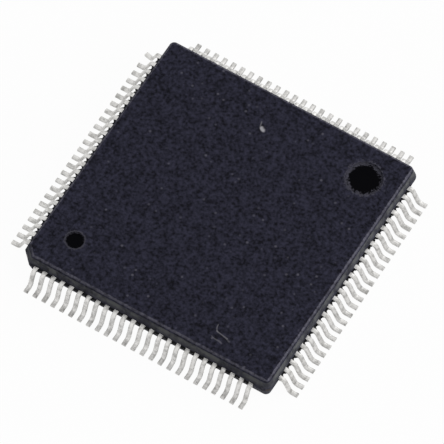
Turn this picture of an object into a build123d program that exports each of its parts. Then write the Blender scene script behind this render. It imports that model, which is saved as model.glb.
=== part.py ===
"""Low-profile quad flat pack with 25 gull-wing leads on each of its four sides.

Millimetres, +Z up. The origin is the middle of the package on its seating plane, the
plane that the soldering feet stand on. Lead 1 is beside the chamfered corner at -X -Y,
and the leads are numbered anticlockwise seen from above: 1 to 25 along the -Y side,
26 to 50 along +X, 51 to 75 along +Y and 76 to 100 along -X.
"""
from build123d import *
from math import asin, degrees, radians, sin, sqrt, tan
import os

# The moulded body, measured at the line where the two mould halves met
CORNER_ROOM = 1.00            # along a side, from its last lead's middle to the corner
UPPER_DEPTH = 0.71            # mould line up to the top face
LOWER_DEPTH = 0.69            # mould line down to the underside
STANDOFF = 0.15               # underside above the seating plane
DRAFT_ANGLE = 15.0            # of all eight sloping walls
CORNER_RADIUS = 0.42          # of three corners, at the mould line
PIN_ONE_CHAMFER = 0.60        # leg of the cut corner, at the mould line
FACE_EDGE_BEVEL = 0.08        # along the edges of the top face and the underside

# Round marks that the mould's pins leave in the top face
PIN_ONE_MARK_RADIUS = 0.46
PIN_ONE_MARK_DEPTH = 0.07
PIN_ONE_MARK_INSET = 1.97     # from the mould line to the mark's centre, both ways
EJECTOR_MARK_RADIUS = 0.93
EJECTOR_MARK_DEPTH = 0.10
EJECTOR_MARK_INSET = 1.95

# The leads
LEADS_PER_SIDE = 25
LEAD_PITCH = 0.50
LEAD_WIDTH = 0.22
STRIP_THICKNESS = 0.127       # of the strip that leads and die paddle are stamped from
LEAD_PROJECTION = 1.00        # mould line to the tip of the foot
FOOT_LENGTH = 0.38            # tip to the crease in front of the leg
LEG_ANGLE = 68.0              # of the leg, from the horizontal
SHOULDER_RADIUS = 0.20        # outside of the bend at the top of the leg
HEEL_BEVEL = 0.10             # outside of the bend at its foot
BENT_LEAD_NUMBER = 76         # this lead has been knocked sideways
BENT_LEAD_OFFSET = 0.22       # of its tip, towards the corner beside it
BENT_LEAD_ROOT = 0.04         # mould line out to the start of that bend

# The lead fingers inside the body
FINGER_TIP_WIDTH = 0.15
FINGER_TIP_GAP = 0.45         # from the paddle's edge to the middle fingers' tips
FINGER_TIP_BOW = 0.40         # how much further out the last fingers' tips lie

# Paddle, die and bond wires
PADDLE_MARGIN = 0.50          # die edge to the paddle's edge
PADDLE_DOWNSET = 0.20
TIE_BAR_WIDTH = 0.25
TIE_BAR_CLEARANCE = 0.15      # tie bar to the tips of the fingers beside it
TIE_BAR_FLAT = 0.60           # level stretch of a tie bar before it rises
TIE_BAR_RISE = 0.40           # length over which it rises
DIE_WIDTH = 5.00
DIE_THICKNESS = 0.28
GLUE_THICKNESS = 0.03
GLUE_MARGIN = 0.10            # how far the glue spreads past the die
PAD_INSET = 0.14              # die edge to the middle of the bond pads
WIRE_WIDTH = 0.03
WIRE_RISE = 0.15              # height of the wires' crest above the die
STITCH_INSET = 0.16           # finger tip to the middle of the bond on it

# Worked out from the sizes above: the body is 14.00 wide, and the paddle 6.00
BODY_WIDTH = (LEADS_PER_SIDE - 1) * LEAD_PITCH + 2 * CORNER_ROOM
BODY_HALF = BODY_WIDTH / 2
PADDLE_WIDTH = DIE_WIDTH + 2 * PADDLE_MARGIN
MOULD_LINE = STANDOFF + LOWER_DEPTH
TOP_FACE = MOULD_LINE + UPPER_DEPTH
STRIP_BOTTOM = MOULD_LINE
STRIP_TOP = STRIP_BOTTOM + STRIP_THICKNESS
PADDLE_TOP = STRIP_TOP - PADDLE_DOWNSET
PADDLE_BOTTOM = PADDLE_TOP - STRIP_THICKNESS
DIE_BOTTOM = PADDLE_TOP + GLUE_THICKNESS
DIE_TOP = DIE_BOTTOM + DIE_THICKNESS
LEAD_REACH = BODY_HALF + LEAD_PROJECTION
LAST_LEAD = (LEADS_PER_SIDE - 1) / 2
GROUP_SIZE = 5


def drafted_half(depth):
    """Half of the body: its outline at the mould line, drawn up with walls that lean in."""
    cut = PIN_ONE_CHAMFER - BODY_HALF
    outline = make_face(Polyline(
        (cut, -BODY_HALF), (BODY_HALF, -BODY_HALF), (BODY_HALF, BODY_HALF),
        (-BODY_HALF, BODY_HALF), (-BODY_HALF, cut), close=True,
    ))
    whole_corners = [corner for corner in outline.vertices() if abs(corner.X) == abs(corner.Y)]
    outline = fillet(whole_corners, CORNER_RADIUS)
    return extrude(outline, depth, taper=DRAFT_ANGLE)


def round_mark(radius, depth, inset, side):
    """The space of a pin's round mark in the top face, near the corner (side, side)."""
    centre = side * (BODY_HALF - inset)
    return Pos(centre, centre, TOP_FACE - depth / 2) * Cylinder(radius, depth)


def body_form():
    """The outside of the moulded body with its round marks."""
    lower = mirror(drafted_half(LOWER_DEPTH), about=Plane.XY)
    form = Pos(0, 0, MOULD_LINE) * (drafted_half(UPPER_DEPTH) + lower)
    flat_faces = form.faces().sort_by(Axis.Z)
    form = chamfer(flat_faces[-1].edges() + flat_faces[0].edges(), FACE_EDGE_BEVEL)
    form -= round_mark(PIN_ONE_MARK_RADIUS, PIN_ONE_MARK_DEPTH, PIN_ONE_MARK_INSET, -1)
    return form - round_mark(EJECTOR_MARK_RADIUS, EJECTOR_MARK_DEPTH, EJECTOR_MARK_INSET, 1)


def gull_wing(place, start):
    """A lead outside the body on the -Y side: a bent strip, from start out to its tip."""
    slope = tan(radians(LEG_ANGLE))
    slant = STRIP_THICKNESS / sin(radians(LEG_ANGLE))
    crease = LEAD_REACH - FOOT_LENGTH
    shoulder = (crease - (STRIP_TOP - STRIP_THICKNESS) / slope, STRIP_TOP)
    under_shoulder = (crease - (STRIP_BOTTOM - STRIP_THICKNESS) / slope - slant, STRIP_BOTTOM)
    heel = (crease + STRIP_THICKNESS / slope - slant, 0)
    strip = Polyline(
        (start, STRIP_TOP), shoulder, (crease, STRIP_THICKNESS), (LEAD_REACH, STRIP_THICKNESS),
        (LEAD_REACH, 0), heel, under_shoulder, (start, STRIP_BOTTOM), close=True,
    )
    side_view = make_face(strip)
    side_view = fillet(side_view.vertices().sort_by_distance((*shoulder, 0))[0], SHOULDER_RADIUS)
    side_view = chamfer(side_view.vertices().sort_by_distance((*heel, 0))[0], HEEL_BEVEL)
    upright = Plane(origin=(place, 0, 0), x_dir=(0, -1, 0), z_dir=(-1, 0, 0))
    return extrude(upright * side_view, LEAD_WIDTH / 2, both=True)


def finger_tip(step):
    """Middle of a finger's inner end, for the lead that is step leads from the middle."""
    along = step / LAST_LEAD
    middle_tip = PADDLE_WIDTH / 2 + FINGER_TIP_GAP
    tie_bar_room = (TIE_BAR_WIDTH / 2 + TIE_BAR_CLEARANCE + FINGER_TIP_WIDTH / 2) * sqrt(2)
    last_tip = middle_tip + FINGER_TIP_BOW - tie_bar_room
    return along * last_tip, -(middle_tip + FINGER_TIP_BOW * along ** 2)


def finger(place, step):
    """The flat part of a lead inside the body, fanning in towards the die."""
    tip_x, tip_y = finger_tip(step)
    edge = Polyline(
        (place - LEAD_WIDTH / 2, -BODY_HALF), (place + LEAD_WIDTH / 2, -BODY_HALF),
        (tip_x + FINGER_TIP_WIDTH / 2, tip_y), (tip_x - FINGER_TIP_WIDTH / 2, tip_y), close=True,
    )
    return Pos(0, 0, STRIP_BOTTOM) * extrude(make_face(edge), STRIP_THICKNESS)


def lead(step, bent=False):
    """One lead on the -Y side, step leads from the middle of its row."""
    place = step * LEAD_PITCH
    if not bent:
        return finger(place, step) + gull_wing(place, BODY_HALF)
    pivot = BODY_HALF + BENT_LEAD_ROOT
    turn = degrees(asin(BENT_LEAD_OFFSET / (LEAD_REACH - pivot)))
    knuckle = Pos(place, -pivot, (STRIP_BOTTOM + STRIP_TOP) / 2)
    wing = knuckle * Rot(0, 0, -turn) * knuckle.inverse() * gull_wing(place, pivot)
    stub = knuckle * Pos(0, BENT_LEAD_ROOT / 2, 0) * Box(LEAD_WIDTH, BENT_LEAD_ROOT, STRIP_THICKNESS)
    disc = knuckle * Cylinder(LEAD_WIDTH / 2, STRIP_THICKNESS)
    return finger(place, step) + stub + disc + wing


def bond_wire(step):
    """Wire that rises from its pad on the die, then runs down to the finger beside it."""
    pad_pitch = (DIE_WIDTH - 2 * PAD_INSET) / (LEADS_PER_SIDE + 1)
    start = Vector(step * pad_pitch, PAD_INSET - DIE_WIDTH / 2, 0)
    tip = Vector(*finger_tip(step), 0)
    root = Vector(step * LEAD_PITCH, -BODY_HALF, 0)
    end = tip + (root - tip).normalized() * STITCH_INSET
    span = (end - start).length
    along = (end - start).normalized()
    half = WIRE_WIDTH / 2
    crest = DIE_TOP + WIRE_RISE
    profile = Polyline(
        (-half, DIE_TOP), (half, DIE_TOP), (half, crest - WIRE_WIDTH), (span - half, STRIP_TOP),
        (span + half, STRIP_TOP), (-half, crest), close=True,
    )
    upright = Plane(origin=start, x_dir=along, z_dir=(along.Y, -along.X, 0))
    return extrude(upright * make_face(profile), half, both=True)


def tie_bars(form):
    """The four bars that held the paddle in its strip, cut off at the body's corners."""
    start = PADDLE_WIDTH / sqrt(2) - TIE_BAR_WIDTH
    foot = start + TIE_BAR_FLAT
    crest = foot + TIE_BAR_RISE
    end = BODY_HALF * sqrt(2)
    profile = Polyline(
        (start, PADDLE_TOP), (foot, PADDLE_TOP), (crest, STRIP_TOP), (end, STRIP_TOP),
        (end, STRIP_BOTTOM), (crest, STRIP_BOTTOM), (foot, PADDLE_BOTTOM), (start, PADDLE_BOTTOM),
        close=True,
    )
    bar = extrude(Plane.XZ * make_face(profile), TIE_BAR_WIDTH / 2, both=True)
    return [form & (Rot(0, 0, 45 + quarter * 90) * bar) for quarter in range(4)]


def slab(width, bottom, thickness):
    return Pos(0, 0, bottom + thickness / 2) * Box(width, width, thickness)


def save(name, solids):
    node = Compound(label=name, children=solids) if len(solids) > 1 else solids[0]
    export_step(node, f"parts/{name}.step")


def main():
    os.makedirs("parts", exist_ok=True)
    form = body_form()
    steps = [number - LAST_LEAD for number in range(LEADS_PER_SIDE)]
    row = [lead(step) for step in steps]
    wires = [bond_wire(step) for step in steps]
    sides = [Rot(0, 0, 90 * side) for side in range(4)]
    all_leads = [side * piece for side in sides for piece in row]
    all_wires = [side * piece for side in sides for piece in wires]
    for place, piece in enumerate(all_leads):
        if place + 1 == BENT_LEAD_NUMBER:
            side, number = divmod(place, LEADS_PER_SIDE)
            all_leads[place] = sides[side] * lead(steps[number], bent=True)

    paddle = slab(PADDLE_WIDTH, PADDLE_BOTTOM, STRIP_THICKNESS)
    for bar in tie_bars(form):
        paddle += bar
    glue = slab(DIE_WIDTH + 2 * GLUE_MARGIN, PADDLE_TOP, GLUE_THICKNESS)
    die = slab(DIE_WIDTH, DIE_BOTTOM, DIE_THICKNESS)
    body = form.cut(paddle, glue, die, *all_leads, *all_wires)

    save("mould_body", [body])
    save("die_paddle", [paddle])
    save("die_attach", [glue])
    save("die", [die])
    for first in range(0, len(all_leads), GROUP_SIZE):
        last = first + GROUP_SIZE
        numbers = f"{first + 1:03d}_{last:03d}"
        save(f"leads_{numbers}", all_leads[first:last])
        save(f"bond_wires_{numbers}", all_wires[first:last])


main()
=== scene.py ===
"""Looks of a 100-lead quad flat pack: moulded body, tinned gull-wing leads, flash and dust.

Written for Blender 4.5. Everything is in metres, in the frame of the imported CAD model: +Z
is up, the origin is the middle of the package on the plane that its feet stand on, and
lead 1 is beside the chamfered corner at -X -Y.
"""
from math import asin, cos, pi, radians, sin, sqrt

import bpy
import numpy as np
from mathutils import Matrix, Vector


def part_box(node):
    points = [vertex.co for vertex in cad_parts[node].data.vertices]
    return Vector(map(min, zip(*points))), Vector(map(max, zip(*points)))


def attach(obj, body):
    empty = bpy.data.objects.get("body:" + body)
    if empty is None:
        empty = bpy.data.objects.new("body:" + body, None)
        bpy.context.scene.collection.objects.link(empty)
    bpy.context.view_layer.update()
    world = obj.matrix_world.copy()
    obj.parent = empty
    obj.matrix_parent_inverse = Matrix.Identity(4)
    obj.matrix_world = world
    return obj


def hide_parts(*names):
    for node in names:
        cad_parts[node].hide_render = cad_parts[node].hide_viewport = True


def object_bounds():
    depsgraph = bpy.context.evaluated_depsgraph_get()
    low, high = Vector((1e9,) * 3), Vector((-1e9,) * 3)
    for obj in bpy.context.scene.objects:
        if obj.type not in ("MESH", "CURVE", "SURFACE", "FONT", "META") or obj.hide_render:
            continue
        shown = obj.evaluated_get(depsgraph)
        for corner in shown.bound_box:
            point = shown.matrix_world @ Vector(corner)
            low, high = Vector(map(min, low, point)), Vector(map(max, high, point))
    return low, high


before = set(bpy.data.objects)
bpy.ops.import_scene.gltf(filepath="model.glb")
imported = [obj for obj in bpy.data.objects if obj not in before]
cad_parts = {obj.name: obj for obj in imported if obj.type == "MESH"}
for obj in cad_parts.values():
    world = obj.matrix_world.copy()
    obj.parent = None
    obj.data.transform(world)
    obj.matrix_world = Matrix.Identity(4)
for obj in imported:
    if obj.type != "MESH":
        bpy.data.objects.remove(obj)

bl_info = {
    "name": "Quad Flat Pack",
    "version": (1, 0, 0),
    "blender": (4, 5, 0),
    "location": "3D View > Sidebar > Quad Flat Pack",
    "description": "Dresses the CAD model of a 100-lead quad flat pack",
    "category": "Add Mesh",
}

MM = 0.001
CAD_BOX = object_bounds()
BODY_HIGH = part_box("mould_body")[1]
BODY_HALF = BODY_HIGH.x
TOP_FACE = BODY_HIGH.z
LEAD_REACH = CAD_BOX[1].x
STRIP_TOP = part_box("leads_001_005")[1].z
LEAD_NODES = sorted(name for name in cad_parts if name.startswith("leads_"))
WIRE_NODES = sorted(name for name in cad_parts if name.startswith("bond_wires_"))
LEADS_PER_SIDE = 25
LEADS_PER_NODE = 5
LAST_STEP = (LEADS_PER_SIDE - 1) / 2
BEND_STATIONS = 6
PIN_ONE_CHAMFER = 0.60 * MM

# Flash: how far its root reaches into the wall, the top of the strip down to it, and the
# bevel of its broken edge, by which its top is uneven too
FLASH_ROOT = 0.03 * MM
FLASH_DROP = 0.012 * MM
FLASH_CHIP = 0.02 * MM
FLASH_STATIONS = 7
FLASH_SEED = 5

# Faces that meet at less than these angles are shaded as one
LEAD_CREASE = radians(50)
FLASH_CREASE = radians(25)

# Spacings of the patterns. Real filler grains are some hundredths of a millimetre and real
# tin crystals a few thousandths, both too fine to show, so they are drawn coarser.
FILLER_GRAIN = 0.16 * MM
FILLER_BLOTCH = 0.55 * MM
FLECK_SPACING = 0.42 * MM
MARK_FRINGE = 0.10 * MM
DUST_WAVE = 0.40 * MM
FLASH_CRUMB = 0.06 * MM
TIN_PATCH = 0.26 * MM
TIN_CRYSTAL = 0.03 * MM

# Where one look changes into the next: both ends of each change, the lower or the inner one
# first
WALL_BEGINS = (TOP_FACE - 0.18 * MM, TOP_FACE - 0.12 * MM)
# The next span darkens the foot of the upper wall just above the leads, as painted shade
WALL_FOOT_PAINTED_SHADE = (STRIP_TOP + 0.02 * MM, STRIP_TOP + 0.28 * MM)
# The next two spans place the pale edge line: partly wear, partly a painted highlight of the
# edge catching the light
WORN_HIGHLIGHT_EDGE = (BODY_HALF - 0.275 * MM, BODY_HALF - 0.235 * MM)
WORN_HIGHLIGHT_HEIGHT = (TOP_FACE - 0.08 * MM, TOP_FACE - 0.04 * MM)
DULL_FOOT = (LEAD_REACH - 0.45 * MM, LEAD_REACH - 0.05 * MM)

# How unevenly the worn edge line and its painted highlight run, and the height above which
# marks and dust are drawn
WORN_HIGHLIGHT_UNEVEN = 0.05 * MM
MARKED_ABOVE = TOP_FACE - 0.3 * MM

# The round marks in the top face: name, x and y of the middle, radius, width of the pale
# ring, and how ragged the outline is. MARK_FADE is how far outside the outline the black
# starts to fade and where it has ended.
ROUND_MARKS = (
    ("pin_one_mark", -BODY_HALF + 1.97 * MM, 0.48 * MM, 0.07 * MM, 0.20 * MM),
    ("ejector_mark", BODY_HALF - 1.95 * MM, 0.82 * MM, 0.20 * MM, 0.50 * MM))
MARK_FADE = (-0.08 * MM, 0.06 * MM)

# Dust on the top face, in millimetres: start, end, width and how much it covers. Noise moves
# a strand by up to half of DUST_SWING either way.
DUST_STRANDS = [
    (Vector(start) * MM, Vector(end) * MM, width * MM, share) for start, end, width, share in (
        ((3.16, -5.42, 0), (3.36, -5.66, 0), 0.07, 0.16),
        ((3.36, -5.66, 0), (3.90, -5.77, 0), 0.07, 0.18),
        ((3.90, -5.77, 0), (4.15, -5.95, 0), 0.08, 0.08),
        ((3.30, -6.02, 0), (3.85, -6.12, 0), 0.08, 0.11),
        ((-0.75, 5.10, 0), (-0.62, 4.93, 0), 0.08, 0.18),
        ((-0.52, 4.95, 0), (-0.46, 4.90, 0), 0.15, 0.60),
    )]
DUST_SWING = 0.35 * MM

# Lamps: name, azimuth from +X and elevation in degrees, width in metres, watts, and whether
# metal mirrors it. The wall lamp isn't mirrored, so it lifts the black walls and leaves the
# tin as it is.
LAMPS = (
    ("wall_lamp", 12, 14, 0.60, 2.40, False),
    ("key_lamp", 12, 14, 0.60, 0.85, True),
    ("back_lamp", 80, 35, 0.25, 0.40, True),
    ("front_lamp", 246, 52, 0.14, 0.08, True))
LAMP_DISTANCE = 0.45
ROOM_STRENGTH = 0.42
PAPER_HALF = 0.6
PAPER_DROP = 0.002 * MM
PAPER_GLOW = 0.96


def length(name, description, millimetres):
    """A size that the sidebar shows as a length."""
    return bpy.props.FloatProperty(
        name=name, description=description, default=millimetres * MM, unit="LENGTH",
        precision=6)


def colour(name, description, code):
    """A colour that the sidebar shows, from its sRGB hex code."""
    return bpy.props.FloatVectorProperty(
        name=name, description=description, default=linear(code), subtype="COLOR",
        size=4, min=0.0, max=1.0)


def linear(code):
    """sRGB hex code to linear RGBA.

    A part c of the code becomes c / 12.92 up to 0.04045, and ((c + 0.055) / 1.055) ** 2.4
    above that.
    """
    parts = [int(code[place:place + 2], 16) / 255 for place in (1, 3, 5)]
    straight = [c / 12.92 if c <= 0.04045 else ((c + 0.055) / 1.055) ** 2.4 for c in parts]
    return (*straight, 1.0)


# ---------------------------------------------------------------- sizes and colours

class LeadSizes(bpy.types.PropertyGroup):
    """Sizes of the stamped and formed leads."""
    pitch: length("Pitch", "From one lead's middle to the next", 0.50)
    width: length("Width", "Width of the stamped strip", 0.22)
    root_width: length("Root width", "Width at the stub of the cut dam bar", 0.25)
    thickness: length("Thickness", "Thickness of the strip", 0.127)
    edge: length("Edge", "Bevel of the strip's upper edges", 0.028)
    foot: length("Foot", "Flat part of the foot, from its tip", 0.275)
    bend_radius: length("Bend radius", "Of the strip's middle line in both bends", 0.22)
    leg_angle: bpy.props.FloatProperty(
        name="Leg angle", description="Of the leg, from the horizontal",
        default=radians(68.0), subtype="ANGLE")
    tip_width: length("Finger tip width", "Inner end of a lead, inside the body", 0.15)
    tip_spread: length("Finger tip spread", "Middle line out to the last finger's tip", 3.35)
    tip_reach: length("Finger tip reach", "Middle of the body out to the middle tip", 3.45)
    tip_bow: length("Finger tip bow", "How much further out the last tips lie", 0.40)
    bent_lead: bpy.props.IntProperty(
        name="Bent lead", description="Number of the lead that was knocked sideways",
        default=76)
    bent_offset: length("Bent offset", "How far that lead's tip lies to the side", 0.22)
    bent_root: length("Bent root", "Body wall out to the start of that bend", 0.04)


class FlashSizes(bpy.types.PropertyGroup):
    """Sizes of the thin resin flash that is left between the leads' roots."""
    reach: length("Reach", "Wall out to the flash beside a lead", 0.13)
    waist: length("Waist", "Wall out to the flash halfway between two leads", 0.05)
    ragged: length("Ragged", "How unevenly the flash broke off", 0.035)
    thickness: length("Thickness", "Thickness of the flash", 0.10)
    gap: length("Gap", "Clear of the leads on both sides", 0.004)


class Finishes(bpy.types.PropertyGroup):
    """Colours of the materials."""
    epoxy: colour("Epoxy", "Moulding compound between its filler grains", "#14141A")
    epoxy_pale: colour("Epoxy, pale", "Where its filler grains lie close", "#353544")
    # The edge colour also paints the pale line round the top face, which is partly a painted
    # highlight
    epoxy_edge: colour("Epoxy edge", "Worn edges of the body and its pale flecks", "#5E5D68")
    # The paler wall colour is painted light: it stands for the light that the sloping walls
    # catch
    epoxy_wall_painted_light: colour("Epoxy wall", "Rougher compound of the sloping walls", "#575859")
    # On the flash this near-black is painted shade for the gaps between the leads' roots
    epoxy_mark: colour("Epoxy mark", "Floors of the round marks, and broken flash", "#010103")
    tin: colour("Tin", "Matt tin of the leads", "#DDDCDA")
    tin_dull: colour("Dull tin", "Duller patches in the tin", "#999895")
    copper: colour("Copper", "Copper alloy of the paddle, browned", "#3F3B3A")
    silicon: colour("Silicon", "Lapped silicon of the die", "#5C6168")
    glue: colour("Die glue", "Silver-filled epoxy under the die", "#A8A6A0")
    gold: colour("Gold", "Gold of the bond wires", "#E3BC63")
    dust: colour("Dust", "Dust and hair on the top face", "#C9C7CE")
    paper: colour("Paper", "Floor and background", "#FFFFFF")
    paper_shade: colour("Paper shade", "Paper where it scatters the lamps' light", "#E6E6E6")


class CameraView(bpy.types.PropertyGroup):
    """Where the photograph was taken from."""
    azimuth: bpy.props.FloatProperty(
        name="Azimuth", description="Round the part, 0 looks along +Y",
        default=radians(31.29), subtype="ANGLE")
    elevation: bpy.props.FloatProperty(
        name="Elevation", description="Above the horizon", default=radians(61.23),
        subtype="ANGLE")
    roll: bpy.props.FloatProperty(
        name="Roll", description="Turn about the line of sight",
        default=radians(0.03), subtype="ANGLE")
    distance: length("Distance", "Camera to the point it looks at", 347.8)
    target: bpy.props.FloatVectorProperty(
        name="Target", description="Point that the camera looks at",
        default=(0.22 * MM, -0.14 * MM, 0.70 * MM), subtype="TRANSLATION", size=3)
    lens: bpy.props.FloatProperty(
        name="Lens", description="Focal length in millimetres on a 36 mm sensor",
        default=587.8)


# ---------------------------------------------------------------- building helpers

def add_node(tree, kind, inputs=None, **settings):
    """Adds a shader node. settings are its own properties; inputs, by name or number, are
    constants, or sockets of other nodes to link from."""
    added = tree.nodes.new(kind)
    for name, value in settings.items():
        setattr(added, name, value)
    for name, value in (inputs or {}).items():
        if isinstance(value, bpy.types.NodeSocket):
            tree.links.new(value, added.inputs[name])
        else:
            added.inputs[name].default_value = value
    return added


def new_material(name):
    """A material with its node tree, its Principled shader and its Object coordinates."""
    material = bpy.data.materials.new(name)
    material.use_nodes = True
    tree = material.node_tree
    shader = tree.nodes["Principled BSDF"]
    coords = add_node(tree, "ShaderNodeTexCoord").outputs["Object"]
    return material, tree, shader, coords


def tube_faces(stations, around):
    """Faces of a closed tube: quads between ring s and ring s + 1, and fans over both ends.

    Point s * around + k is point k of ring s. The ends are fans of triangles from point 0.
    """
    s, k = np.meshgrid(np.arange(stations - 1), np.arange(around), indexing="ij")
    here, beside = s * around + k, s * around + (k + 1) % around
    quads = np.stack([here, beside, beside + around, here + around], -1).reshape(-1, 4)
    fan = np.arange(1, around - 1)
    first = np.stack([np.zeros_like(fan), fan + 1, fan], -1)
    last = np.stack([np.zeros_like(fan), fan, fan + 1], -1) + (stations - 1) * around
    return quads, np.concatenate([first, last])


def many_tubes(rings):
    """Points and faces of many closed tubes; rings is (tubes, stations, around, 3)."""
    tubes, stations, around, _ = rings.shape
    quads, ends = tube_faces(stations, around)
    first_point = np.arange(tubes)[:, None, None] * stations * around
    all_quads = (quads[None] + first_point).reshape(-1, 4).tolist()
    all_ends = (ends[None] + first_point).reshape(-1, 3).tolist()
    return rings.reshape(-1, 3), all_quads + all_ends


def add_tubes(name, rings, material, crease):
    """Puts many closed tubes into one piece, smooth where faces meet at less than crease."""
    points, faces = many_tubes(rings)
    mesh = bpy.data.meshes.new(name)
    mesh.from_pydata(points.tolist(), [], faces)
    mesh.materials.append(material)
    mesh.polygons.foreach_set("use_smooth", np.ones(len(mesh.polygons), bool))
    mesh.set_sharp_from_angle(angle=crease)
    piece = bpy.data.objects.new(name, mesh)
    bpy.context.scene.collection.objects.link(piece)
    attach(piece, "root")
    return piece


def turn_to_side(points, side):
    """Turns points from the -Y side by a quarter turn for each side: 1 is +X, 2 +Y, 3 -X."""
    c, s = round(cos(side * pi / 2)), round(sin(side * pi / 2))
    x, y, z = np.moveaxis(points, -1, 0)
    return np.stack([c * x - s * y, s * x + c * y, z], -1)


def dress(names, material):
    """Gives CAD nodes a finish by their own material slots."""
    for name in names:
        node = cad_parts[name]
        for place in node.material_slots:
            place.material = material


# ---------------------------------------------------------------- material of the body

def larger_of_sides(tree, place):
    """The larger of |x| and |y|, which is the same all along a square's outline."""
    across = add_node(tree, "ShaderNodeMath", {0: place.outputs["X"]}, operation="ABSOLUTE")
    along = add_node(tree, "ShaderNodeMath", {0: place.outputs["Y"]}, operation="ABSOLUTE")
    return add_node(tree, "ShaderNodeMath", {0: across.outputs[0], 1: along.outputs[0]},
                    operation="MAXIMUM").outputs[0]


def filled_compound(tree, coords, blotch, grain, look):
    """Black resin, paler where filler grains lie close, with a few pale flecks.

    The flecks are the middles of some cells of a Voronoi pattern, picked by chance.
    """
    filler = add_node(tree, "ShaderNodeMath", {0: blotch, 1: 0.35, 2: grain},
                      operation="MULTIPLY_ADD")
    pale = add_node(tree, "ShaderNodeMapRange", {
        "Value": filler.outputs[0], "From Min": 0.48, "From Max": 0.88})
    base = add_node(tree, "ShaderNodeMix", {
        0: pale.outputs[0], 6: look.epoxy, 7: look.epoxy_pale}, data_type="RGBA")
    cells = add_node(tree, "ShaderNodeTexVoronoi", {
        "Vector": coords, "Scale": 1 / FLECK_SPACING, "Randomness": 1.0})
    near = add_node(tree, "ShaderNodeMapRange", {
        "Value": cells.outputs["Distance"], "From Min": 0.10, "From Max": 0.20,
        "To Min": 1.0, "To Max": 0.0})
    chance = add_node(tree, "ShaderNodeSeparateColor", {"Color": cells.outputs["Color"]})
    chosen = add_node(tree, "ShaderNodeMapRange", {
        "Value": chance.outputs[0], "From Min": 0.55, "From Max": 1.0, "To Max": 0.75})
    fleck = add_node(tree, "ShaderNodeMath", {0: near.outputs[0], 1: chosen.outputs[0]},
                     operation="MULTIPLY")
    return add_node(tree, "ShaderNodeMix", {
        0: fleck.outputs[0], 6: base.outputs[2], 7: look.epoxy_edge},
        data_type="RGBA").outputs[2]


def walls_with_painted_light_and_shade(tree, place, blotch, shade, look):
    """The walls are painted paler than the top face, in patches, as painted light for the
    light that they catch, and the foot of the upper wall just above the leads is darker, as
    painted shade."""
    # The walls take the paler colour: painted light for the light they catch
    below = add_node(tree, "ShaderNodeMapRange", {
        "Value": place.outputs["Z"], "From Min": WALL_BEGINS[0], "From Max": WALL_BEGINS[1],
        "To Min": 1.0, "To Max": 0.0})
    patchy = add_node(tree, "ShaderNodeMapRange", {
        "Value": blotch, "From Min": 0.40, "From Max": 0.58, "To Min": 0.30, "To Max": 1.0})
    patched = add_node(tree, "ShaderNodeMath", {0: below.outputs[0], 1: patchy.outputs[0]},
                       operation="MULTIPLY")
    # Darker at the foot of the upper wall, just above the leads: painted shade
    above_painted_shade = add_node(tree, "ShaderNodeMapRange", {
        "Value": place.outputs["Z"], "From Min": WALL_FOOT_PAINTED_SHADE[0], "From Max": WALL_FOOT_PAINTED_SHADE[1],
        "To Min": 0.20, "To Max": 1.0})
    walled = add_node(tree, "ShaderNodeMath", {0: patched.outputs[0], 1: above_painted_shade.outputs[0]},
                      operation="MULTIPLY")
    return add_node(tree, "ShaderNodeMix", {
        0: walled.outputs[0], 6: shade, 7: look.epoxy_wall_painted_light}, data_type="RGBA").outputs[2]


def worn_edges_and_highlight(tree, place, grain, shade, look):
    """A pale line round the top face, also along its cut corner: partly wear, partly a painted
    highlight of the edge catching the light.

    A point's distance out is the larger of |x|, |y| and, for the corner cut at -X -Y,
    -(x + y) / sqrt(2) with a constant added that makes the cut lie at the body's half width.
    """
    square = larger_of_sides(tree, place)
    both = add_node(tree, "ShaderNodeMath", {0: place.outputs["X"], 1: place.outputs["Y"]},
                    operation="ADD")
    cut_shift = BODY_HALF - (2 * BODY_HALF - PIN_ONE_CHAMFER) / sqrt(2)
    cut_corner = add_node(tree, "ShaderNodeMath", {
        0: both.outputs[0], 1: -1 / sqrt(2), 2: cut_shift}, operation="MULTIPLY_ADD")
    edged = add_node(tree, "ShaderNodeMath", {0: square, 1: cut_corner.outputs[0]},
                     operation="MAXIMUM")
    wear_and_highlight_out = add_node(tree, "ShaderNodeMath", {0: grain, 1: WORN_HIGHLIGHT_UNEVEN, 2: edged.outputs[0]},
                    operation="MULTIPLY_ADD")
    outer = add_node(tree, "ShaderNodeMapRange", {
        "Value": wear_and_highlight_out.outputs[0], "From Min": WORN_HIGHLIGHT_EDGE[0], "From Max": WORN_HIGHLIGHT_EDGE[1]})
    upper = add_node(tree, "ShaderNodeMapRange", {
        "Value": place.outputs["Z"], "From Min": WORN_HIGHLIGHT_HEIGHT[0], "From Max": WORN_HIGHLIGHT_HEIGHT[1]})
    rubbed_highlight = add_node(tree, "ShaderNodeMapRange", {
        "Value": grain, "From Min": 0.38, "From Max": 0.62, "To Min": 0.40, "To Max": 1.0})
    band = add_node(tree, "ShaderNodeMath", {0: outer.outputs[0], 1: upper.outputs[0]},
                    operation="MULTIPLY")
    rim = add_node(tree, "ShaderNodeMath", {0: band.outputs[0], 1: rubbed_highlight.outputs[0]},
                   operation="MULTIPLY")
    # The pale line is partly wear and partly a painted highlight of the edge catching the
    # light
    return add_node(tree, "ShaderNodeMix", {
        0: rim.outputs[0], 6: shade, 7: look.epoxy_edge}, data_type="RGBA").outputs[2]


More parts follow.
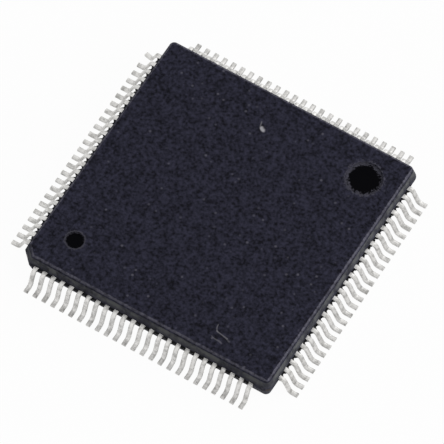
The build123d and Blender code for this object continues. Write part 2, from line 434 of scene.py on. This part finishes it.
def round_marks(tree, coords, flat, top_half, shade, look):
    """The marks: black inside a ragged outline, and a faint pale ring outside it.

    The distance from a mark's middle has noise times its fuzz added. The noise is about
    half on average, so half the fuzz is added to the radius.
    """
    fringe = add_node(tree, "ShaderNodeTexNoise", {
        "Vector": coords, "Scale": 1 / MARK_FRINGE, "Detail": 1.0})
    for name, centre, radius, ring, fuzz in ROUND_MARKS:
        rim_at = radius + fuzz / 2
        gap = add_node(tree, "ShaderNodeVectorMath", {0: flat, 1: (centre, centre, 0.0)},
                       operation="DISTANCE")
        ragged = add_node(tree, "ShaderNodeMath", {
            0: fringe.outputs["Fac"], 1: fuzz, 2: gap.outputs["Value"]},
            operation="MULTIPLY_ADD")
        halo = add_node(tree, "ShaderNodeMapRange", {
            "Value": ragged.outputs[0], "From Min": rim_at, "From Max": rim_at + ring,
            "To Min": 0.80, "To Max": 0.0})
        haloed = add_node(tree, "ShaderNodeMath", {0: halo.outputs[0], 1: top_half},
                          operation="MULTIPLY")
        ringed = add_node(tree, "ShaderNodeMix", {
            0: haloed.outputs[0], 6: shade, 7: look.epoxy_edge}, data_type="RGBA")
        inside = add_node(tree, "ShaderNodeMapRange", {
            "Value": ragged.outputs[0], "From Min": rim_at + MARK_FADE[0],
            "From Max": rim_at + MARK_FADE[1], "To Min": 1.0, "To Max": 0.0})
        floor = add_node(tree, "ShaderNodeMath", {0: inside.outputs[0], 1: top_half},
                         operation="MULTIPLY")
        shade = add_node(tree, "ShaderNodeMix", {
            0: floor.outputs[0], 6: ringed.outputs[2], 7: look.epoxy_mark},
            data_type="RGBA", name=name).outputs[2]
    return shade


def lying_dust(tree, flat, top_half, shade, look):
    """Dust and hair that lie flat on the top face.

    A strand covers the points near a straight stretch: the point's place along the stretch
    is held between 0 and 1, and its distance from that place is measured. The point is first
    moved by noise less the noise's average, so that the strand wavers.
    """
    wander = add_node(tree, "ShaderNodeTexNoise", {
        "Vector": flat, "Scale": 1 / DUST_WAVE, "Detail": 0.0})
    wavy = add_node(tree, "ShaderNodeVectorMath", {
        0: wander.outputs["Color"], 1: (DUST_SWING, DUST_SWING, 0.0), 2: flat},
        operation="MULTIPLY_ADD")
    middled = add_node(tree, "ShaderNodeVectorMath", {
        0: wavy.outputs[0], 1: (DUST_SWING / 2, DUST_SWING / 2, 0.0)}, operation="SUBTRACT")
    for start, end, width, share in DUST_STRANDS:
        run = end - start
        from_start = add_node(tree, "ShaderNodeVectorMath", {0: middled.outputs[0], 1: start},
                              operation="SUBTRACT")
        along_run = add_node(tree, "ShaderNodeVectorMath", {
            0: from_start.outputs[0], 1: run / run.length_squared}, operation="DOT_PRODUCT")
        held = add_node(tree, "ShaderNodeClamp", {"Value": along_run.outputs["Value"]})
        nearest = add_node(tree, "ShaderNodeVectorMath", {0: run, "Scale": held.outputs[0]},
                           operation="SCALE")
        off = add_node(tree, "ShaderNodeVectorMath", {
            0: from_start.outputs[0], 1: nearest.outputs[0]}, operation="DISTANCE")
        lint = add_node(tree, "ShaderNodeMapRange", {
            "Value": off.outputs["Value"], "From Min": width * 0.3, "From Max": width * 0.7,
            "To Min": share, "To Max": 0.0})
        lying = add_node(tree, "ShaderNodeMath", {0: lint.outputs[0], 1: top_half},
                         operation="MULTIPLY")
        shade = add_node(tree, "ShaderNodeMix", {
            0: lying.outputs[0], 6: shade, 7: look.dust}, data_type="RGBA").outputs[2]
    return shade


def moulded_epoxy(look):
    """Epoxy moulding compound, black with a blue cast, moulded in a spark-eroded cavity.

    The eye sees a matt, finely pitted face with paler grains of its silica filler, lighter
    worn edges with a painted highlight, walls painted paler as painted light and darker just
    above the leads as painted shade, and two round marks with black floors.
    """
    material, tree, shader, coords = new_material("epoxy_moulding_compound")
    blotch = add_node(tree, "ShaderNodeTexNoise", {
        "Vector": coords, "Scale": 1 / FILLER_BLOTCH, "Detail": 3.0,
        "Roughness": 0.6}).outputs["Fac"]
    grain = add_node(tree, "ShaderNodeTexNoise", {
        "Vector": coords, "Scale": 1 / FILLER_GRAIN, "Detail": 2.0,
        "Roughness": 0.6}).outputs["Fac"]
    place = add_node(tree, "ShaderNodeSeparateXYZ", {"Vector": coords})
    flat = add_node(tree, "ShaderNodeCombineXYZ", {
        0: place.outputs["X"], 1: place.outputs["Y"]}).outputs[0]
    top_half = add_node(tree, "ShaderNodeMath", {0: place.outputs["Z"], 1: MARKED_ABOVE},
                        operation="GREATER_THAN").outputs[0]

    shade = filled_compound(tree, coords, blotch, grain, look)
    shade = walls_with_painted_light_and_shade(tree, place, blotch, shade, look)
    shade = worn_edges_and_highlight(tree, place, grain, shade, look)
    shade = round_marks(tree, coords, flat, top_half, shade, look)
    shade = lying_dust(tree, flat, top_half, shade, look)

    # The pits trap nearly all gloss, so the specular level is far below the usual 0.5
    bump = add_node(tree, "ShaderNodeBump", {
        "Strength": 0.55, "Distance": 0.012 * MM, "Height": grain})
    tree.links.new(shade, shader.inputs["Base Color"])
    tree.links.new(bump.outputs["Normal"], shader.inputs["Normal"])
    shader.inputs["Roughness"].default_value = 0.62
    shader.inputs["IOR"].default_value = 1.50
    shader.inputs["Specular IOR Level"].default_value = 0.03
    return material


# ---------------------------------------------------------------- other materials

def broken_epoxy(look):
    """The same compound where it broke off between the leads, painted near black: painted
    shade for the dark gaps between the leads' roots.
    """
    material, tree, shader, coords = new_material("broken_epoxy_flash")
    crumbs = add_node(tree, "ShaderNodeTexNoise", {
        "Vector": coords, "Scale": 1 / FLASH_CRUMB, "Detail": 2.0})
    bump = add_node(tree, "ShaderNodeBump", {
        "Strength": 0.8, "Distance": 0.02 * MM, "Height": crumbs.outputs["Fac"]})
    tree.links.new(bump.outputs["Normal"], shader.inputs["Normal"])
    # Near-black: painted shade between the leads' roots
    shader.inputs["Base Color"].default_value = look.epoxy_mark
    shader.inputs["Roughness"].default_value = 0.75
    shader.inputs["Specular IOR Level"].default_value = 0.2
    return material


def matt_tin(look):
    """Matt electroplated tin over the strip: fine crystals scatter the light, so the metal is
    pale and satin, with duller patches, and darker towards the foot's tip.
    """
    material, tree, shader, coords = new_material("matt_tin_plating")
    patches = add_node(tree, "ShaderNodeTexNoise", {
        "Vector": coords, "Scale": 1 / TIN_PATCH, "Detail": 3.0, "Roughness": 0.65})
    place = add_node(tree, "ShaderNodeSeparateXYZ", {"Vector": coords})
    foot = add_node(tree, "ShaderNodeMapRange", {
        "Value": larger_of_sides(tree, place), "From Min": DULL_FOOT[0],
        "From Max": DULL_FOOT[1], "To Min": 0.0, "To Max": 0.20})
    worn = add_node(tree, "ShaderNodeMapRange", {
        "Value": patches.outputs["Fac"], "From Min": 0.43, "From Max": 0.72, "To Max": 0.85})
    share = add_node(tree, "ShaderNodeMath", {0: worn.outputs[0], 1: foot.outputs[0]},
                     operation="ADD", use_clamp=True)
    tint = add_node(tree, "ShaderNodeMix", {
        0: share.outputs[0], 6: look.tin, 7: look.tin_dull}, data_type="RGBA")
    crystals = add_node(tree, "ShaderNodeTexNoise", {
        "Vector": coords, "Scale": 1 / TIN_CRYSTAL, "Detail": 2.0})
    bump = add_node(tree, "ShaderNodeBump", {
        "Strength": 0.25, "Distance": 0.004 * MM, "Height": crystals.outputs["Fac"]})
    tree.links.new(tint.outputs[2], shader.inputs["Base Color"])
    tree.links.new(bump.outputs["Normal"], shader.inputs["Normal"])
    shader.inputs["Metallic"].default_value = 1.0
    shader.inputs["Roughness"].default_value = 0.58
    return material


def plain_finish(name, tone, metallic, roughness, grain, depth):
    """A finish with one colour and a fine bump, for the pieces inside the body."""
    material, tree, shader, coords = new_material(name)
    texture = add_node(tree, "ShaderNodeTexNoise", {
        "Vector": coords, "Scale": 1 / grain, "Detail": 2.0})
    bump = add_node(tree, "ShaderNodeBump", {
        "Strength": 0.3, "Distance": depth, "Height": texture.outputs["Fac"]})
    tree.links.new(bump.outputs["Normal"], shader.inputs["Normal"])
    shader.inputs["Base Color"].default_value = tone
    shader.inputs["Metallic"].default_value = metallic
    shader.inputs["Roughness"].default_value = roughness
    return material


def paper_floor(look):
    """White paper that the camera and metal see as nearly plain white, with a little of the
    part's shadow."""
    material, tree, shader, _ = new_material("white_paper")
    shader.inputs["Base Color"].default_value = look.paper_shade
    shader.inputs["Roughness"].default_value = 0.9
    glow = add_node(tree, "ShaderNodeEmission", {"Color": look.paper, "Strength": 1.0})
    ray = add_node(tree, "ShaderNodeLightPath")
    direct = add_node(tree, "ShaderNodeMath", {
        0: ray.outputs["Is Camera Ray"], 1: ray.outputs["Is Glossy Ray"]}, operation="MAXIMUM")
    seen = add_node(tree, "ShaderNodeMath", {0: direct.outputs[0], 1: PAPER_GLOW},
                    operation="MULTIPLY")
    mixed = add_node(tree, "ShaderNodeMixShader", {
        0: seen.outputs[0], 1: shader.outputs[0], 2: glow.outputs[0]})
    tree.links.new(mixed.outputs[0], tree.nodes["Material Output"].inputs["Surface"])
    return material


# ---------------------------------------------------------------- shapes

def lead_rings(sizes, numbers):
    """Rings of leads with those numbers, as an array (leads, stations, around, 3).

    A lead's side view is a line of stations out from its finger tip: level to the wall and
    on, a bend of radius R, a straight leg at angle A, a bend back, and the level foot. In a
    bend the station at angle a lies R sin a further out and R (1 - cos a) lower than the
    bend's start. The strip's six-sided section stands square to that line at each station.
    """
    radius, angle, half = sizes.bend_radius, sizes.leg_angle, sizes.thickness / 2
    high, low = STRIP_TOP - half, CAD_BOX[0].z + half
    straight = (high - low - 2 * radius * (1 - cos(angle))) / sin(angle)
    turned = np.linspace(0, angle, BEND_STATIONS)
    heel_end = LEAD_REACH - sizes.foot
    leg_end = heel_end - radius * sin(angle)
    leg_start = leg_end - straight * cos(angle)
    shoulder = leg_start - radius * sin(angle)
    out = np.concatenate([
        [sizes.tip_reach, BODY_HALF], shoulder + radius * np.sin(turned),
        heel_end - radius * np.sin(turned[::-1]), [LEAD_REACH]])
    height = np.concatenate([
        [high, high], high - radius * (1 - np.cos(turned)),
        low + radius * (1 - np.cos(turned[::-1])), [low]])
    slope = np.concatenate([[0, 0], turned, turned[::-1], [0]])

    step = np.array([(number - 1) % LEADS_PER_SIDE - LAST_STEP for number in numbers])
    side = np.array([(number - 1) // LEADS_PER_SIDE for number in numbers])
    stations, leads = len(out), len(step)
    out = np.repeat(out[None], leads, 0)
    out[:, 0] += sizes.tip_bow * (step / LAST_STEP) ** 2
    middle = np.repeat((step * sizes.pitch)[:, None], stations, 1)
    middle[:, 0] = step / LAST_STEP * sizes.tip_spread
    width = np.full(stations, sizes.width)
    width[0], width[1:3] = sizes.tip_width, sizes.root_width

    wide, edge = width[:, None] / 2, sizes.edge
    across = np.concatenate([-wide, wide, wide, wide - edge, edge - wide, -wide], 1)
    up = np.array([-half, -half, half - edge, half, half, half - edge])
    x = middle[:, :, None] + across[None]
    reach = out[:, :, None] + np.sin(slope)[None, :, None] * up
    z = np.repeat((height[:, None] + np.cos(slope)[:, None] * up)[None], leads, 0)

    # The knocked lead turns about a pivot just outside the wall
    pivot = BODY_HALF + sizes.bent_root
    turn = asin(sizes.bent_offset / (LEAD_REACH - pivot))
    for bent in np.flatnonzero(np.array(numbers) == sizes.bent_lead):
        aside, beyond = x[bent, 2:] - middle[bent, 1], reach[bent, 2:] - pivot
        x[bent, 2:] = middle[bent, 1] + aside * cos(turn) - beyond * sin(turn)
        reach[bent, 2:] = pivot + aside * sin(turn) + beyond * cos(turn)

    rings = np.stack([x, -reach, z], -1)
    return np.stack([turn_to_side(rings[place], side[place]) for place in range(leads)])


def flash_rings(sizes, leads, rng):
    """Rings of the flash in all the gaps between neighbouring leads.

    Across a gap, u from -1 to 1, its edge lies waist + (reach - waist) u ** 2 out from the
    wall, give or take the ragged share.
    """
    u = np.linspace(-1, 1, FLASH_STATIONS)
    inner = np.full(len(u), BODY_HALF - FLASH_ROOT)
    half_gap = (leads.pitch - leads.root_width) / 2 - sizes.gap
    high = STRIP_TOP - FLASH_DROP
    low = np.full(len(u), high - sizes.thickness)
    rings = []
    for side in range(4):
        for step in np.arange(LEADS_PER_SIDE - 1) - LAST_STEP + 0.5:
            x = step * leads.pitch + u * half_gap
            edge = BODY_HALF + sizes.waist + (sizes.reach - sizes.waist) * u ** 2
            edge = edge + sizes.ragged * rng.uniform(-1, 1, len(u))
            top = high - FLASH_CHIP * rng.uniform(0, 1, len(u))
            ring = np.stack([
                np.stack([x, -inner, low], -1),
                np.stack([x, -edge, low + FLASH_CHIP], -1),
                np.stack([x, -edge, top - FLASH_CHIP], -1),
                np.stack([x, -inner, top], -1)], 1)
            rings.append(turn_to_side(ring, side))
    return np.array(rings)


# ---------------------------------------------------------------- stage

def add_paper(scene):
    """A square sheet of paper just under the feet."""
    under = CAD_BOX[0].z - PAPER_DROP
    corners = [(x * PAPER_HALF, y * PAPER_HALF, under)
               for x, y in ((-1, -1), (1, -1), (1, 1), (-1, 1))]
    mesh = bpy.data.meshes.new("paper")
    mesh.from_pydata(corners, [], [(0, 1, 2, 3)])
    mesh.materials.append(paper_floor(scene.qfp_finishes))
    paper = bpy.data.objects.new("paper", mesh)
    scene.collection.objects.link(paper)


def add_lamps(scene):
    """Round area lamps, all at one distance and pointed at the part."""
    for name, azimuth, elevation, width, watts, mirrored in LAMPS:
        az, el = radians(azimuth), radians(elevation)
        towards = Vector((cos(az) * cos(el), sin(az) * cos(el), sin(el)))
        lamp = bpy.data.lights.new(name, "AREA")
        lamp.shape, lamp.size, lamp.energy = "DISK", width, watts
        holder = bpy.data.objects.new(name, lamp)
        holder.visible_glossy = mirrored
        holder.location = towards * LAMP_DISTANCE
        holder.rotation_euler = towards.to_track_quat("Z", "Y").to_euler()
        scene.collection.objects.link(holder)


def add_room(scene):
    """Pale surroundings, which the camera and metal see as plain white."""
    world = bpy.data.worlds.new("pale_room")
    world.use_nodes = True
    tree = world.node_tree
    ray = add_node(tree, "ShaderNodeLightPath")
    room = tree.nodes["Background"]
    room.inputs["Color"].default_value = (1, 1, 1, 1)
    room.inputs["Strength"].default_value = ROOM_STRENGTH
    backdrop = add_node(tree, "ShaderNodeBackground", {
        "Color": (1, 1, 1, 1), "Strength": 1.0})
    direct = add_node(tree, "ShaderNodeMath", {
        0: ray.outputs["Is Camera Ray"], 1: ray.outputs["Is Glossy Ray"]}, operation="MAXIMUM")
    seen = add_node(tree, "ShaderNodeMath", {
        0: direct.outputs[0], 1: ray.outputs["Is Transmission Ray"]}, operation="MAXIMUM")
    mixed = add_node(tree, "ShaderNodeMixShader", {
        0: seen.outputs[0], 1: room.outputs[0], 2: backdrop.outputs[0]})
    tree.links.new(mixed.outputs[0], tree.nodes["World Output"].inputs["Surface"])
    scene.world = world


def add_camera(scene):
    """The camera, whose own axes are right, up and back from the point it looks at."""
    view = scene.qfp_camera
    az, el = view.azimuth, view.elevation
    back = Vector((sin(az) * cos(el), -cos(az) * cos(el), sin(el)))
    right = Vector((cos(az), sin(az), 0.0))
    up = back.cross(right)
    right, up = (cos(view.roll) * right + sin(view.roll) * up,
                 -sin(view.roll) * right + cos(view.roll) * up)
    camera = bpy.data.objects.new("camera", bpy.data.cameras.new("camera"))
    camera.data.sensor_width = 36.0
    camera.data.lens = view.lens
    camera.data.clip_start, camera.data.clip_end = 0.01, 10.0
    turn = Matrix((right, up, back)).transposed().to_4x4()
    camera.matrix_world = Matrix.Translation(
        Vector(view.target) + back * view.distance) @ turn
    scene.collection.objects.link(camera)
    scene.camera = camera


# ---------------------------------------------------------------- operators

class DressBody(bpy.types.Operator):
    """Gives the moulded body its black compound"""
    bl_idname = "quad_flat_pack.dress_body"
    bl_label = "Moulded body"

    def execute(self, context):
        dress(["mould_body"], moulded_epoxy(context.scene.qfp_finishes))
        return {"FINISHED"}


class DressInside(bpy.types.Operator):
    """Gives the pieces inside the body their metals, silicon and glue"""
    bl_idname = "quad_flat_pack.dress_inside"
    bl_label = "Pieces inside"

    def execute(self, context):
        look = context.scene.qfp_finishes
        # Rolled copper alloy strip, browned by the moulding heat: a dark satin metal
        dress(["die_paddle"], plain_finish(
            "rolled_copper_alloy", look.copper, metallic=1.0, roughness=0.40,
            grain=0.05 * MM, depth=0.002 * MM))
        # Sawn and lapped silicon: grey, nearly a mirror
        dress(["die"], plain_finish(
            "lapped_silicon", look.silicon, metallic=0.6, roughness=0.22,
            grain=0.20 * MM, depth=0.001 * MM))
        # Epoxy full of silver flakes: a dull pale grey
        dress(["die_attach"], plain_finish(
            "silver_filled_epoxy", look.glue, metallic=0.3, roughness=0.60,
            grain=0.03 * MM, depth=0.004 * MM))
        # Drawn gold wire: bright and smooth
        dress(WIRE_NODES, plain_finish(
            "drawn_gold_wire", look.gold, metallic=1.0, roughness=0.20,
            grain=0.02 * MM, depth=0.0005 * MM))
        return {"FINISHED"}


class AddLeads(bpy.types.Operator):
    """Adds the tinned gull-wing leads with rounded bends"""
    bl_idname = "quad_flat_pack.add_leads"
    bl_label = "Leads"

    def execute(self, context):
        sizes = context.scene.qfp_leads
        tin = matt_tin(context.scene.qfp_finishes)
        dress(LEAD_NODES, tin)
        for place, node in enumerate(LEAD_NODES):
            first = place * LEADS_PER_NODE + 1
            rings = lead_rings(sizes, list(range(first, first + LEADS_PER_NODE)))
            piece = add_tubes("tinned_" + node, rings, tin, LEAD_CREASE)
            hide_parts(node)
        return {"FINISHED"}


class AddFlash(bpy.types.Operator):
    """Adds the resin flash that is left between the leads' roots"""
    bl_idname = "quad_flat_pack.add_flash"
    bl_label = "Mould flash"

    def execute(self, context):
        scene = context.scene
        rng = np.random.default_rng(FLASH_SEED)
        rings = flash_rings(scene.qfp_flash, scene.qfp_leads, rng)
        piece = add_tubes("mould_flash", rings, broken_epoxy(scene.qfp_finishes), FLASH_CREASE)
        return {"FINISHED"}


class SetStage(bpy.types.Operator):
    """Adds the white paper, the lamps, the pale surroundings and the camera"""
    bl_idname = "quad_flat_pack.set_stage"
    bl_label = "Stage"

    def execute(self, context):
        scene = context.scene
        add_paper(scene)
        add_lamps(scene)
        add_room(scene)
        scene.view_settings.view_transform = "Standard"
        add_camera(scene)
        return {"FINISHED"}


class QuadFlatPackPanel(bpy.types.Panel):
    """Lists the pieces of the quad flat pack"""
    bl_idname = "VIEW3D_PT_quad_flat_pack"
    bl_label = "Quad Flat Pack"
    bl_space_type = "VIEW_3D"
    bl_region_type = "UI"
    bl_category = "Quad Flat Pack"

    def draw(self, context):
        for operator in OPERATORS:
            self.layout.operator(operator.bl_idname)


GROUPS = {
    "qfp_leads": LeadSizes,
    "qfp_flash": FlashSizes,
    "qfp_finishes": Finishes,
    "qfp_camera": CameraView,
}
OPERATORS = (DressBody, DressInside, AddLeads, AddFlash, SetStage)


def register():
    """Registers the classes and hangs the property groups on the scene."""
    for made in (*GROUPS.values(), *OPERATORS, QuadFlatPackPanel):
        bpy.utils.register_class(made)
    for name, group in GROUPS.items():
        setattr(bpy.types.Scene, name, bpy.props.PointerProperty(type=group))


def unregister():
    """Takes the groups off the scene and the classes out again."""
    for name in GROUPS:
        delattr(bpy.types.Scene, name)
    for made in reversed((*GROUPS.values(), *OPERATORS, QuadFlatPackPanel)):
        bpy.utils.unregister_class(made)


def main():
    register()
    bpy.ops.quad_flat_pack.dress_body()
    bpy.ops.quad_flat_pack.dress_inside()
    bpy.ops.quad_flat_pack.add_leads()
    bpy.ops.quad_flat_pack.add_flash()
    bpy.ops.quad_flat_pack.set_stage()


if __name__ == "__main__":
    main()
